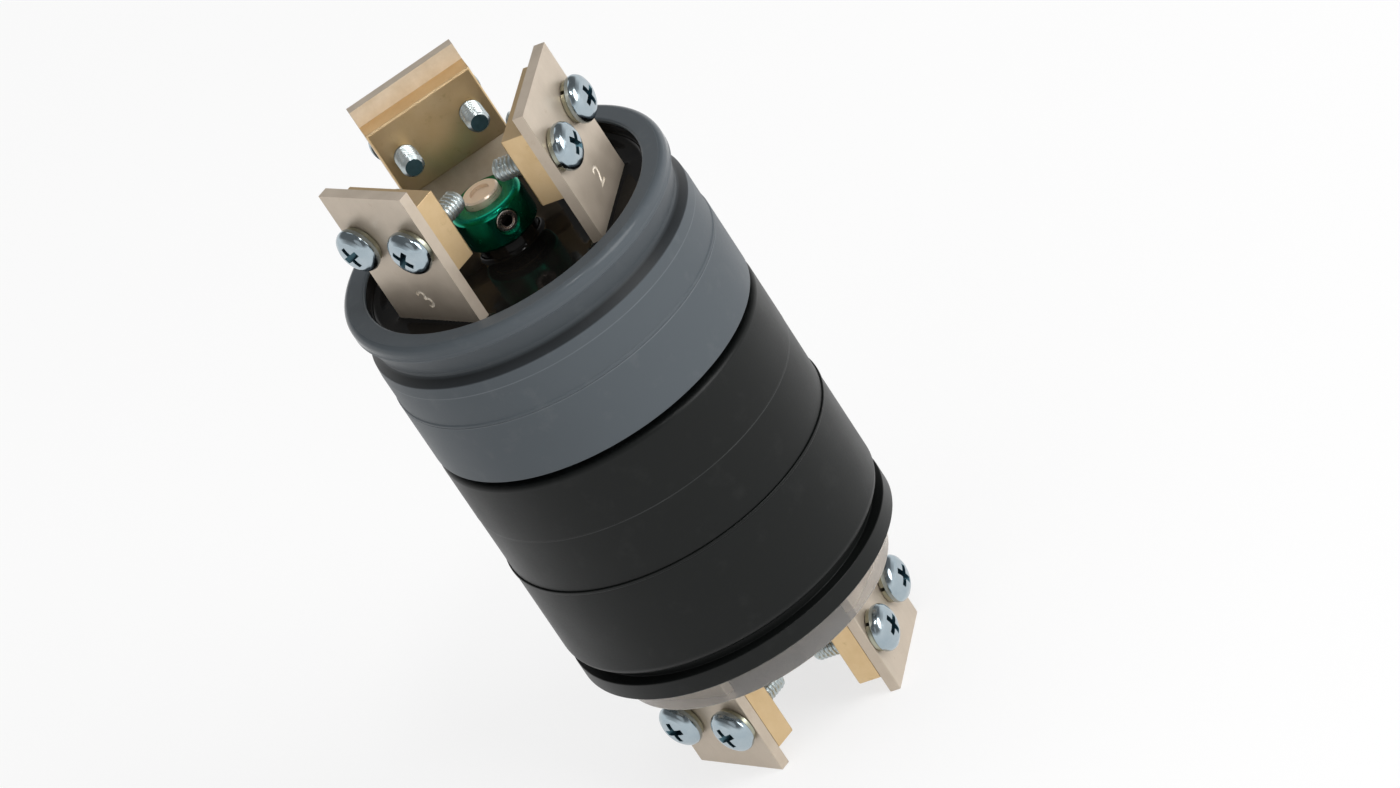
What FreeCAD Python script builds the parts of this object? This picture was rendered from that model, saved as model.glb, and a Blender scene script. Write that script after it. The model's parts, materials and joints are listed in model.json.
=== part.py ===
import FreeCAD, Part
import math
import os

from FreeCAD import Vector

# A slip ring with three conductors. Its grey upper half turns on its black lower half about Z.
# Millimetres, +Z up, with the origin under the centre, level with the ends of the lower terminal plates.

# Outer radius of the body, and how far each section stands back from it
body_radius = 31.75
cap_inset = 0.2
middle_inset = 0.1
flange_inset = 0.25
clear_disc_inset = 4.75
seam_ridge = 0.2
seam_ridge_height = 0.5

# Heights of the stacked sections, from the bottom up
clear_disc_height = 6.8
flange_height = 3.8
end_groove_height = 1.9
lower_section_height = 20.8
middle_section_height = 11.9
upper_section_height = 12.7
parting_gap = 1.3
sleeve_height = 12.7
cap_band_height = 8.9
cap_cone_height = 1.8
cap_groove_height = 0.6
cap_taper_height = 3.9
rim_height = 3.1

# Form of the cap, the rim and the lower end
mouth_wall = 4.45
mouth_depth = 3.7
mouth_bevel = 0.4
rim_round = 1.7
groove_depth = 1.7
band_inset = 0.25
cap_web = 5.0
top_edge_round = 1.0
lower_edge_round = 2.0
neck_inset = 2.2
flange_edge = 0.3

# Walls and joints of the housings
housing_wall = 8.4
spigot_height = 1.2
spigot_width = 4.4
web_thickness = 2.0
fit_gap = 0.1
divider_thickness = 1.5
key_gap = 0.2
ear_width = 4.0
ear_wall = 0.6

# Labyrinth between the two halves
labyrinth_wall = 4.4
labyrinth_width = 5.1
labyrinth_gap = 0.6
labyrinth_floor = 1.0

# Terminals
terminal_angles = (90.0, 330.0, 210.0)
plate_setback = 11.05
plate_width = 21.4
plate_thickness = 2.1
block_thickness = 4.4
block_height = 14.4
upper_block_lift = 7.0
upper_plate_lip = 3.4
lower_block_gap = 1.7
lower_plate_lip = 3.7
block_bevel = 0.3
foot_width = 8.0
foot_bend = 1.0
foot_margin = 0.8

# Terminal screws and washers
screw_spacing = 13.6
screw_radius = 2.1
screw_tip_distance = 8.6
screw_head_radius = 4.4
screw_head_height = 2.7
screw_head_rim = 0.9
screw_point = 0.5
screw_hole_gap = 0.25
washer_radius = 3.9
washer_thickness = 1.1
washer_slit = 0.7

# Centre shaft and its collar
shaft_radius = 3.5
shaft_proud = 1.4
shaft_recess_radius = 1.9
shaft_recess_depth = 0.7
shaft_edge = 0.3
shaft_shoulder_radius = 5.0
shaft_shoulder_height = 1.5
collar_radius = 6.85
collar_height = 7.1
collar_lift = 3.0
collar_round = 0.7
bush_radius = 5.2
set_screw_radius = 1.9
set_screw_inset = 0.25
set_screw_angle = 279.0
set_screw_drop = 3.1
set_screw_socket = 1.15
set_screw_socket_depth = 1.6

# Conductor rods
rotor_rod_radius = 1.5
rotor_rod_gap = 3.5
rotor_rod_proud = 0.8
rod_hole_gap = 0.1
disc_hole_gap = 1.0
stator_rod_radius = 1.2
stator_rod_gap = 0.4

# Turning core, contact discs and cups. Shares are of the room between the core and the chamber's wall.
core_wall = 2.4
core_gap_share = 0.24
bore_gap = 0.6
cup_wall_share = 0.184
cup_base = 1.5
disc_thickness = 1.5
disc_headroom = 1.4
disc_cover_gap = 1.0
lip_share = 0.184
lip_gap = 1.1
hub_flange_below = 3.0
hub_flange_above = 2.3
hub_flange_inset = 2.0

# Ball bearings and seal
upper_race = 1.5
upper_race_space = 3.0
upper_race_groove = 0.5
upper_bearing_width = 6.5
upper_ball_count = 12
lower_race = 1.3
lower_race_space = 2.6
lower_race_groove = 0.4
lower_bearing_width = 5.0
lower_ball_count = 8
ball_gap = 0.1
cage_gap = 0.1
cage_thickness = 1.0
cage_border = 0.6
race_shoulder = 1.4
seal_height = 2.5
seal_gap = 0.08
seal_lip = 0.6

# Levels, from the ends of the lower plates upward
z_clear = lower_plate_lip + block_height + lower_block_gap
z_flange = z_clear + clear_disc_height
z_neck = z_flange + flange_height
z_body = z_neck + end_groove_height
z_lower_seam = z_body + lower_section_height
z_middle_seam = z_lower_seam + middle_section_height
z_housing_top = z_middle_seam + upper_section_height
z_sleeve = z_housing_top + parting_gap
z_cap = z_sleeve + sleeve_height
z_band_top = z_cap + cap_band_height
z_groove = z_band_top + cap_cone_height
z_taper = z_groove + cap_groove_height
z_rim = z_taper + cap_taper_height
z_top = z_rim + rim_height
z_floor = z_top - mouth_depth
z_hub_flange = z_cap - hub_flange_below
z_web = z_cap + hub_flange_above
z_feet = z_web + cap_web
z_collar = z_floor + collar_lift
z_collar_top = z_collar + collar_height
z_shaft_top = z_collar_top + shaft_proud
z_upper_block = z_top + upper_block_lift
z_upper_plate_top = z_upper_block + block_height + upper_plate_lip

# Radii that follow from the body, the walls and the gaps
cap_radius = body_radius - cap_inset
middle_radius = body_radius - middle_inset
flange_radius = body_radius - flange_inset
clear_disc_radius = body_radius - clear_disc_inset
mouth_radius = body_radius - mouth_wall
plate_distance = body_radius - plate_setback
chamber_radius = body_radius - housing_wall
spigot_radius = chamber_radius + spigot_width
neck_radius = flange_radius - neck_inset
rotor_rod_circle = shaft_radius + rotor_rod_gap + rotor_rod_radius
core_radius = rotor_rod_circle + rotor_rod_radius + core_wall
stator_rod_circle = chamber_radius + stator_rod_gap + stator_rod_radius
ear_radius = stator_rod_circle + stator_rod_radius + ear_wall
lower_foot_end = stator_rod_circle + stator_rod_radius + foot_margin
upper_foot_end = rotor_rod_circle - rotor_rod_radius - foot_margin
core_bore = core_radius + bore_gap
cup_room = chamber_radius - fit_gap - core_radius
core_gap = cup_room * core_gap_share
cup_wall = cup_room * cup_wall_share
lip_thickness = cup_room * lip_share
trough_inner = core_radius + core_gap + cup_wall
trough_outer = chamber_radius - fit_gap - cup_wall
lip_radius = (trough_inner + trough_outer) / 2
groove_radius = body_radius - groove_depth
labyrinth_outer = body_radius - labyrinth_wall
labyrinth_inner = labyrinth_outer - labyrinth_width

# Chambers, each a floor and a ceiling
z_chamber_3 = z_body + spigot_height
z_ceiling_2 = z_lower_seam + spigot_height
chamber_height = (z_ceiling_2 - z_chamber_3 - divider_thickness) / 2
z_divider = z_chamber_3 + chamber_height
chambers = (
    (z_ceiling_2 + web_thickness, z_middle_seam + spigot_height),
    (z_divider + divider_thickness, z_ceiling_2),
    (z_chamber_3, z_divider),
)
z_seal = z_middle_seam + spigot_height + web_thickness
z_upper_bearing = z_seal + seal_height
z_lower_bearing = z_chamber_3 - lower_bearing_width

# Terminal screws
screw_seat = plate_distance + washer_thickness
screw_length = screw_seat - screw_tip_distance
upper_screw_z = z_upper_block + block_height / 2
lower_screw_z = lower_plate_lip + block_height / 2

nodes = {}


def turned(start, *steps):
    """Solid of revolution about Z. A step is a point (r, z), or a pair of points for an arc."""
    edges = []
    here = Vector(start[0], 0, start[1])
    for step in steps + (start,):
        if isinstance(step[0], tuple):
            middle = Vector(step[0][0], 0, step[0][1])
            there = Vector(step[1][0], 0, step[1][1])
            edges.append(Part.Arc(here, middle, there).toShape())
        else:
            there = Vector(step[0], 0, step[1])
            edges.append(Part.makeLine(here, there))
        here = there
    face = Part.Face(Part.Wire(edges))
    return face.revolve(Vector(0, 0, 0), Vector(0, 0, 1), 360)


def corner(r, z, radius, start_angle):
    """Middle point of a quarter arc with its centre at (r, z), which starts at start_angle."""
    angle = math.radians(start_angle + 45)
    return (r + radius * math.cos(angle), z + radius * math.sin(angle))


def cylinder(radius, z_low, z_high, x=0.0, y=0.0):
    return Part.makeCylinder(radius, z_high - z_low, Vector(x, y, z_low))


def ring(inner, outer, z_low, z_high):
    return cylinder(outer, z_low, z_high).cut(cylinder(inner, z_low - 1, z_high + 1))


def at_angle(shape, angle):
    turned_shape = shape.copy()
    turned_shape.rotate(Vector(0, 0, 0), Vector(0, 0, 1), angle)
    return turned_shape


def radial_box(near, far, width, z_low, z_high):
    """Box along +X, from near to far, with its width centred on the axis."""
    return Part.makeBox(far - near, width, z_high - z_low, Vector(near, -width / 2, z_low))


def radial_cylinder(radius, near, far, y, z):
    return Part.makeCylinder(radius, far - near, Vector(near, y, z), Vector(1, 0, 0))


def rod(radius, circle, angle, z_low, z_high):
    x = circle * math.cos(math.radians(angle))
    y = circle * math.sin(math.radians(angle))
    return cylinder(radius, z_low, z_high, x, y)


def make_upper_cap():
    """Grey top section: band, cone, groove, tapered rim, mouth and the web that carries the feet."""
    ridge_top = z_cap + seam_ridge_height
    rim_centre = (body_radius - rim_round, z_top - rim_round)
    cap = turned(
        (shaft_radius + fit_gap, z_web),
        (body_radius - hub_flange_inset - labyrinth_wall, z_web),
        (body_radius - hub_flange_inset - labyrinth_wall, z_cap),
        (body_radius, z_cap),
        (body_radius, ridge_top),
        (cap_radius, ridge_top + seam_ridge),
        (cap_radius, z_band_top),
        (groove_radius, z_groove),
        (groove_radius, z_taper),
        (body_radius - band_inset, z_rim),
        (body_radius, z_rim + band_inset),
        (body_radius, z_top - rim_round),
        (corner(*rim_centre, rim_round, 0), (body_radius - rim_round, z_top)),
        (mouth_radius + mouth_bevel, z_top),
        (mouth_radius, z_top - mouth_bevel),
        (mouth_radius, z_feet),
        (shaft_radius + fit_gap, z_feet),
    )
    for angle in terminal_angles:
        cap = cap.cut(rod(rotor_rod_radius + rod_hole_gap, rotor_rod_circle, angle, z_cap, z_feet + 1))
    nodes["upper_cap"] = cap


def make_upper_sleeve():
    """Grey section over the parting line. Its skirt runs in the annular groove of the black half."""
    seat_radius = body_radius - hub_flange_inset - labyrinth_wall
    skirt_outer = labyrinth_outer - labyrinth_gap
    skirt_inner = labyrinth_inner + labyrinth_gap
    skirt_foot = z_seal + labyrinth_floor + labyrinth_gap
    nodes["upper_sleeve"] = turned(
        (skirt_inner, skirt_foot),
        (skirt_outer, skirt_foot),
        (skirt_outer, z_sleeve),
        (body_radius - flange_edge, z_sleeve),
        (body_radius, z_sleeve + flange_edge),
        (body_radius, z_cap),
        (seat_radius, z_cap),
        (seat_radius, z_hub_flange),
        (skirt_inner, z_hub_flange),
    )


def make_rotor_hub():
    """Insulating core of the turning half: a flange between cap and sleeve, and a tube into the chambers."""
    disc_top = chambers[0][1] - disc_headroom
    flange_edge_radius = body_radius - hub_flange_inset - labyrinth_wall - fit_gap
    shoulder = core_radius + race_shoulder
    bearing_top = z_upper_bearing + upper_bearing_width
    bore = shaft_radius + fit_gap
    hub = turned(
        (bore, disc_top),
        (core_radius, disc_top),
        (core_radius, bearing_top),
        (shoulder, bearing_top),
        (shoulder, z_hub_flange),
        (flange_edge_radius, z_hub_flange),
        (flange_edge_radius, z_web),
        (bore, z_web),
    )
    for angle in terminal_angles:
        hub = hub.cut(rod(rotor_rod_radius + rod_hole_gap, rotor_rod_circle, angle, disc_top - 1, z_web + 1))
    nodes["rotor_hub"] = hub


def keyway(z_low, z_high, angle):
    """Slot in a housing's inner wall for a stator rod and the ear of its cup."""
    slot = radial_box(chamber_radius - 1, ear_radius + key_gap, ear_width + 2 * key_gap, z_low, z_high)
    return at_angle(slot, angle)


def make_upper_housing():
    """Black section under the parting line. It carries the upper bearing and the seal."""
    bearing_radius = core_radius + 2 * upper_race + upper_race_space
    recess_radius = spigot_radius + fit_gap
    groove_floor = z_seal + labyrinth_floor
    under = z_middle_seam + spigot_height
    round_centre = (body_radius - top_edge_round, z_housing_top - top_edge_round)
    nodes["upper_housing"] = turned(
        (core_bore, under),
        (recess_radius, under),
        (recess_radius, z_middle_seam),
        (body_radius, z_middle_seam),
        (body_radius, z_housing_top - top_edge_round),
        (corner(*round_centre, top_edge_round, 0), (body_radius - top_edge_round, z_housing_top)),
        (labyrinth_outer, z_housing_top),
        (labyrinth_outer, groove_floor),
        (labyrinth_inner, groove_floor),
        (labyrinth_inner, z_housing_top),
        (bearing_radius, z_housing_top),
        (bearing_radius, z_seal),
        (core_bore, z_seal),
    )


def make_middle_housing():
    """Black section round the first chamber. Its web is the floor of that chamber."""
    floor, ceiling = chambers[0]
    recess_radius = spigot_radius + fit_gap
    housing = turned(
        (core_bore, z_ceiling_2),
        (recess_radius, z_ceiling_2),
        (recess_radius, z_lower_seam),
        (middle_radius, z_lower_seam),
        (middle_radius, z_middle_seam),
        (spigot_radius, z_middle_seam),
        (spigot_radius, ceiling),
        (chamber_radius, ceiling),
        (chamber_radius, floor),
        (core_bore, floor),
    )
    first_angle = terminal_angles[0]
    hole_radius = stator_rod_radius + rod_hole_gap
    housing = housing.cut(rod(hole_radius, stator_rod_circle, first_angle, z_ceiling_2 - 1, floor + 1))
    nodes["middle_housing"] = housing.cut(keyway(floor, ceiling + 1, first_angle))


def make_lower_housing():
    """Black section round the second and third chambers, rounded under at its foot."""
    ridge_top = z_lower_seam - seam_ridge_height
    ridge_radius = body_radius + seam_ridge
    round_centre = (body_radius - lower_edge_round, z_body + lower_edge_round)
    housing = turned(
        (chamber_radius, z_body),
        (body_radius - lower_edge_round, z_body),
        (corner(*round_centre, lower_edge_round, 270), (body_radius, z_body + lower_edge_round)),
        (body_radius, ridge_top - seam_ridge),
        (ridge_radius, ridge_top),
        (ridge_radius, z_lower_seam),
        (spigot_radius, z_lower_seam),
        (spigot_radius, z_ceiling_2),
        (chamber_radius, z_ceiling_2),
    )
    for angle in terminal_angles:
        housing = housing.cut(keyway(z_body - 1, z_ceiling_2 + 1, angle))
    nodes["lower_housing"] = housing


def make_divider_disc():
    nodes["divider_disc"] = ring(core_bore, chamber_radius - fit_gap, z_divider, z_divider + divider_thickness)


def make_end_flange():
    """Black end flange with its neck, the lower bearing's pocket and the pockets for the terminal feet."""
    bearing_radius = shaft_radius + 2 * lower_race + lower_race_space
    flange = turned(
        (0, z_flange),
        (flange_radius - flange_edge, z_flange),
        (flange_radius, z_flange + flange_edge),
        (flange_radius, z_neck),
        (neck_radius, z_neck),
        (neck_radius, z_body),
        (chamber_radius - fit_gap, z_body),
        (chamber_radius - fit_gap, z_chamber_3),
        (bearing_radius, z_chamber_3),
        (bearing_radius, z_lower_bearing),
        (0, z_lower_bearing),
    )
    foot_top = z_flange + plate_thickness
    for angle in terminal_angles:
        flange = flange.cut(at_angle(lower_foot_room(foot_top), angle))
        flange = flange.cut(rod(stator_rod_radius + rod_hole_gap, stator_rod_circle, angle, z_flange, z_body + 1))
    nodes["end_flange"] = flange


def lower_foot_room(top):
    """Pocket for a lower terminal's head and foot, along +X."""
    head = radial_box(plate_distance - plate_thickness, plate_distance, plate_width, z_flange - 1, top)
    return head.fuse(radial_box(plate_distance - 1, lower_foot_end, foot_width, z_flange - 1, top))


def make_clear_disc():
    """Clear disc with a slot for each lower plate."""
    disc = turned(
        (0, z_clear),
        (clear_disc_radius - flange_edge, z_clear),
        (clear_disc_radius, z_clear + flange_edge),
        (clear_disc_radius, z_flange),
        (0, z_flange),
    )
    slot = radial_box(plate_distance - plate_thickness, plate_distance, plate_width, z_clear - 1, z_flange + 1)
    for angle in terminal_angles:
        disc = disc.cut(at_angle(slot, angle))
    nodes["clear_disc"] = disc


def bent_strip(inner, outer, foot_end, z_foot, z_high):
    """Narrow L-shaped strip along +X: a foot reaching in to foot_end, a bend and a stem up to z_high."""
    heel_radius = foot_bend + plate_thickness
    foot_top = z_foot + plate_thickness
    bend_x = outer - heel_radius
    bend_z = z_foot + heel_radius
    share = math.sqrt(0.5)
    heel = Part.Arc(
        Vector(bend_x, 0, z_foot),
        Vector(bend_x + heel_radius * share, 0, bend_z - heel_radius * share),
        Vector(outer, 0, bend_z),
    )
    crook = Part.Arc(
        Vector(inner, 0, bend_z),
        Vector(bend_x + foot_bend * share, 0, bend_z - foot_bend * share),
        Vector(bend_x, 0, foot_top),
    )
    edges = [
        Part.makeLine(Vector(foot_end, 0, z_foot), Vector(bend_x, 0, z_foot)),
        heel.toShape(),
        Part.makeLine(Vector(outer, 0, bend_z), Vector(outer, 0, z_high)),
        Part.makeLine(Vector(outer, 0, z_high), Vector(inner, 0, z_high)),
        Part.makeLine(Vector(inner, 0, z_high), Vector(inner, 0, bend_z)),
        crook.toShape(),
        Part.makeLine(Vector(bend_x, 0, foot_top), Vector(foot_end, 0, foot_top)),
        Part.makeLine(Vector(foot_end, 0, foot_top), Vector(foot_end, 0, z_foot)),
    ]
    strip = Part.Face(Part.Wire(edges)).extrude(Vector(0, foot_width, 0))
    strip.translate(Vector(0, -foot_width / 2, 0))
    return strip


def screw_holes(shape, radius, near, far, z):
    for side in (-1, 1):
        shape = shape.cut(radial_cylinder(radius, near - 1, far + 1, side * screw_spacing / 2, z))
    return shape


def make_upper_plate():
    """Upper terminal plate along +X, with its foot bent inward under the potting."""
    inner = plate_distance - plate_thickness
    blade_low = z_feet + plate_thickness + foot_bend
    strip = bent_strip(inner, plate_distance, upper_foot_end, z_feet, z_floor)
    plate = radial_box(inner, plate_distance, plate_width, blade_low, z_upper_plate_top).fuse(strip)
    plate = plate.removeSplitter()
    hole = rod(rotor_rod_radius + rod_hole_gap, rotor_rod_circle, 0, z_feet - 1, z_feet + plate_thickness + 1)
    return screw_holes(plate.cut(hole), screw_radius + screw_hole_gap, inner, plate_distance, upper_screw_z)


def make_lower_plate():
    """Lower terminal plate along +X, with its foot bent outward in the flange's pocket."""
    inner = plate_distance - plate_thickness
    foot_top = z_flange + plate_thickness
    plate = radial_box(inner, plate_distance, plate_width, 0, foot_top)
    plate = plate.fuse(radial_box(inner, lower_foot_end, foot_width, z_flange, foot_top)).removeSplitter()
    hole = rod(stator_rod_radius + rod_hole_gap, stator_rod_circle, 0, z_flange - 1, foot_top + 1)
    return screw_holes(plate.cut(hole), screw_radius + screw_hole_gap, inner, plate_distance, lower_screw_z)


def make_block(z_low):
    """Tapped brass block behind a plate, along +X, with its long inner edges broken."""
    far = plate_distance - plate_thickness
    near = far - block_thickness
    block = radial_box(near, far, plate_width, z_low, z_low + block_height)
    inner_edges = [edge for edge in block.Edges if abs(edge.CenterOfMass.x - near) < 1e-6]
    block = block.makeChamfer(block_bevel, inner_edges)
    return screw_holes(block, screw_radius, near, far, z_low + block_height / 2)


def make_screw():
    """Pan-head screw along -Z, with the underside of its head at the origin."""
    dome_top = screw_head_height
    dome_shoulder = (screw_head_radius * 0.62, screw_head_height * 0.93)
    tip = -screw_length
    return turned(
        (0, tip),
        (screw_radius - screw_point, tip),
        (screw_radius, tip + screw_point),
        (screw_radius, 0),
        (screw_head_radius, 0),
        (screw_head_radius, screw_head_rim),
        ((screw_head_radius * 0.9, screw_head_height * 0.68), dome_shoulder),
        (0, dome_top),
    )


def make_screws(z):
    """The two screws of a terminal along +X."""
    screws = []
    for side in (-1, 1):
        screw = make_screw()
        screw.rotate(Vector(0, 0, 0), Vector(0, 1, 0), 90)
        screw.translate(Vector(screw_seat, side * screw_spacing / 2, z))
        screws.append(screw)
    return Part.makeCompound(screws)


def make_lock_washers(z):
    """The two split washers of a terminal along +X."""
    washers = []
    for side in (-1, 1):
        y = side * screw_spacing / 2
        washer = radial_cylinder(washer_radius, plate_distance, screw_seat, y, z)
        washer = washer.cut(radial_cylinder(screw_radius + fit_gap, plate_distance - 1, screw_seat + 1, y, z))
        slit = Part.makeBox(washer_thickness + 2, washer_slit, washer_radius + 1,
                            Vector(plate_distance - 1, y - washer_slit / 2, z))
        washers.append(washer.cut(slit))
    return washers


def make_terminals():
    """Three terminals at each end, 120 degrees apart."""
    shapes = {
        "upper_plate": make_upper_plate(),
        "upper_block": make_block(z_upper_block),
        "upper_screws": make_screws(upper_screw_z),
        "lower_plate": make_lower_plate(),
        "lower_block": make_block(lower_plate_lip),
        "lower_screws": make_screws(lower_screw_z),
    }
    for number, angle in enumerate(terminal_angles, start=1):
        for name, shape in shapes.items():
            nodes[name + "_" + str(number)] = at_angle(shape, angle)
    for name, z in (("upper_lock_washers", upper_screw_z), ("lower_lock_washers", lower_screw_z)):
        washers = []
        for angle in terminal_angles:
            washers += [at_angle(washer, angle) for washer in make_lock_washers(z)]
        nodes[name] = Part.makeCompound(washers)


def make_rods():
    """Conductor rods: from each upper foot to its disc, and from each lower foot to its cup."""
    for number, angle in enumerate(terminal_angles, start=1):
        floor, ceiling = chambers[number - 1]
        disc_low = ceiling - disc_headroom - disc_thickness
        rod_top = z_feet + plate_thickness + rotor_rod_proud
        nodes["rotor_rod_" + str(number)] = rod(rotor_rod_radius, rotor_rod_circle, angle, disc_low, rod_top)
        cup_top = floor + cup_base
        nodes["stator_rod_" + str(number)] = rod(stator_rod_radius, stator_rod_circle, angle, z_flange, cup_top)


def make_potting():
    """Glossy fill in the mouth, cast round the plates, the rods and the bush."""
    fill = cylinder(mouth_radius - fit_gap / 2, z_feet, z_floor)
    fill = fill.cut(cylinder(bush_radius, z_feet - 1, z_floor + 1))
    for number in (1, 2, 3):
        fill = fill.cut(nodes["upper_plate_" + str(number)])
        fill = fill.cut(nodes["rotor_rod_" + str(number)])
    fill = fill.removeSplitter()
    nodes["potting"] = max(fill.Solids, key=lambda solid: solid.Volume)


def make_contacts():
    """Contact cups with their ears, and contact discs with their lips."""
    for number, (floor, ceiling) in enumerate(chambers, start=1):
        angle = terminal_angles[number - 1]
        disc_top = ceiling - disc_headroom
        disc_low = disc_top - disc_thickness
        cup = turned(
            (core_radius + core_gap, floor),
            (chamber_radius - fit_gap, floor),
            (chamber_radius - fit_gap, ceiling),
            (trough_outer, ceiling),
            (trough_outer, floor + cup_base),
            (trough_inner, floor + cup_base),
            (trough_inner, disc_low - disc_cover_gap),
            (core_radius + core_gap, disc_low - disc_cover_gap),
        )
        ear = radial_box(trough_outer, ear_radius, ear_width, floor, floor + cup_base)
        cup = cup.fuse(at_angle(ear, angle)).removeSplitter()
        cup = cup.cut(rod(stator_rod_radius, stator_rod_circle, angle, floor - 1, floor + cup_base + 1))
        nodes["contact_cup_" + str(number)] = cup
        disc = turned(
            (shaft_radius + disc_hole_gap, disc_low),
            (lip_radius - lip_thickness / 2, disc_low),
            (lip_radius - lip_thickness / 2, floor + cup_base + lip_gap),
            (lip_radius + lip_thickness / 2, floor + cup_base + lip_gap),
            (lip_radius + lip_thickness / 2, disc_top),
            (shaft_radius + disc_hole_gap, disc_top),
        )
        for other, rod_angle in enumerate(terminal_angles, start=1):
            gap = 0 if other == number else disc_hole_gap
            hole = rod(rotor_rod_radius + gap, rotor_rod_circle, rod_angle, disc_low - 1, disc_top + 1)
            disc = disc.cut(hole)
        nodes["contact_disc_" + str(number)] = disc


def make_spacers():
    """Insulating spacers under each disc, the last one on the shaft's shoulder."""
    lows = [ceiling - disc_headroom for floor, ceiling in chambers[1:]]
    lows.append(z_chamber_3 + shaft_shoulder_height)
    for number, low in enumerate(lows, start=1):
        high = chambers[number - 1][1] - disc_headroom - disc_thickness
        spacer = ring(shaft_radius + fit_gap, core_radius, low, high)
        for angle in terminal_angles[number:]:
            spacer = spacer.cut(rod(rotor_rod_radius + rod_hole_gap, rotor_rod_circle, angle, low - 1, high + 1))
        nodes["spacer_" + str(number)] = spacer


def make_shaft():
    """Centre shaft with its shoulder on the lower bearing and a shallow recess in its upper end."""
    shoulder_top = z_chamber_3 + shaft_shoulder_height
    nodes["rotor_shaft"] = turned(
        (0, z_lower_bearing + fit_gap),
        (shaft_radius, z_lower_bearing + fit_gap),
        (shaft_radius, z_chamber_3),
        (shaft_shoulder_radius, z_chamber_3),
        (shaft_shoulder_radius, shoulder_top),
        (shaft_radius, shoulder_top),
        (shaft_radius, z_shaft_top - shaft_edge),
        (shaft_radius - shaft_edge, z_shaft_top),
        (shaft_recess_radius, z_shaft_top),
        (shaft_recess_radius, z_shaft_top - shaft_recess_depth),
        (0, z_shaft_top - shaft_recess_depth),
    )


def make_collar():
    """Green set collar, its socket screw and the brass bush under it."""
    bore = shaft_radius + fit_gap / 2
    low_centre = (collar_radius - collar_round, z_collar + collar_round)
    high_centre = (collar_radius - collar_round, z_collar_top - collar_round)
    collar = turned(
        (bore, z_collar),
        (collar_radius - collar_round, z_collar),
        (corner(*low_centre, collar_round, 270), (collar_radius, z_collar + collar_round)),
        (collar_radius, z_collar_top - collar_round),
        (corner(*high_centre, collar_round, 0), (collar_radius - collar_round, z_collar_top)),
        (bore, z_collar_top),
    )
    screw_z = z_collar_top - set_screw_drop
    hole = radial_cylinder(set_screw_radius, 0, collar_radius + 1, 0, screw_z)
    nodes["set_collar"] = collar.cut(at_angle(hole, set_screw_angle))
    outer = collar_radius - set_screw_inset
    screw = radial_cylinder(set_screw_radius, shaft_radius, outer, 0, screw_z)
    corners = [math.radians(60 * step) for step in range(7)]
    hexagon = [Vector(outer + 1, set_screw_socket * math.cos(a), screw_z + set_screw_socket * math.sin(a))
               for a in corners]
    socket = Part.Face(Part.makePolygon(hexagon)).extrude(Vector(-set_screw_socket_depth - 1, 0, 0))
    screw = screw.cut(socket).cut(cylinder(shaft_radius, z_collar, z_collar_top))
    nodes["set_screw"] = at_angle(screw, set_screw_angle)
    nodes["clamp_bush"] = ring(bore, bush_radius, z_feet, z_collar)


def race(groove_side, near, far, groove_centre, z_low, z_high, groove_radius):
    """Bearing race from near to far, with the ball groove cut in its wall."""
    blank = ring(near, far, z_low, z_high)
    groove = Part.makeTorus(groove_centre, groove_radius, Vector(0, 0, (z_low + z_high) / 2))
    return blank.cut(groove) if groove_side else blank


def make_bearing(prefix, bore, thickness, space, groove_depth_here, z_low, width, count):
    """Deep-groove ball bearing: two races, a ring of balls and a cage with round windows."""
    z_high = z_low + width
    circle = bore + thickness + space / 2
    outer = bore + 2 * thickness + space
    groove_round = space / 2 + groove_depth_here
    ball_radius = groove_round - ball_gap
    nodes[prefix + "_inner_race"] = race(True, bore, bore + thickness, circle, z_low, z_high, groove_round)
    nodes[prefix + "_outer_race"] = race(True, outer - thickness, outer, circle, z_low, z_high, groove_round)
    middle = (z_low + z_high) / 2
    window = ball_radius + cage_gap
    half_height = window + cage_border
    cage = ring(circle - cage_thickness / 2, circle + cage_thickness / 2, middle - half_height, middle + half_height)
    balls = []
    for index in range(count):
        angle = 360.0 * index / count
        ball = Part.makeSphere(ball_radius, Vector(circle, 0, middle))
        hole = radial_cylinder(window, circle - cage_thickness, circle + cage_thickness, 0, middle)
        balls.append(at_angle(ball, angle))
        cage = cage.cut(at_angle(hole, angle))
    nodes[prefix + "_balls"] = Part.makeCompound(balls)
    nodes[prefix + "_cage"] = cage


def make_seal():
    """Rubber seal in the upper housing, with a lip that runs on the hub."""
    outer = core_radius + 2 * upper_race + upper_race_space
    running = core_radius + seal_gap
    back = running + upper_race
    nodes["shaft_seal"] = turned(
        (running, z_seal),
        (outer, z_seal),
        (outer, z_upper_bearing),
        (outer - upper_race, z_upper_bearing),
        (outer - upper_race, z_seal + seal_lip),
        (back, z_seal + seal_lip),
        (running, z_seal + 2 * seal_lip),
    )


def main():
    os.makedirs("parts", exist_ok=True)
    make_upper_cap()
    make_upper_sleeve()
    make_rotor_hub()
    make_upper_housing()
    make_middle_housing()
    make_lower_housing()
    make_divider_disc()
    make_end_flange()
    make_clear_disc()
    make_terminals()
    make_rods()
    make_potting()
    make_contacts()
    make_spacers()
    make_shaft()
    make_collar()
    make_bearing("upper", core_radius, upper_race, upper_race_space, upper_race_groove,
                 z_upper_bearing, upper_bearing_width, upper_ball_count)
    make_bearing("lower", shaft_radius, lower_race, lower_race_space, lower_race_groove,
                 z_lower_bearing, lower_bearing_width, lower_ball_count)
    make_seal()
    for name, shape in nodes.items():
        shape.exportStep("parts/" + name + ".step")
        print(name, len(shape.Solids), "solids", round(shape.Volume, 1), "mm3", "valid", shape.isValid())


main()
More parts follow.
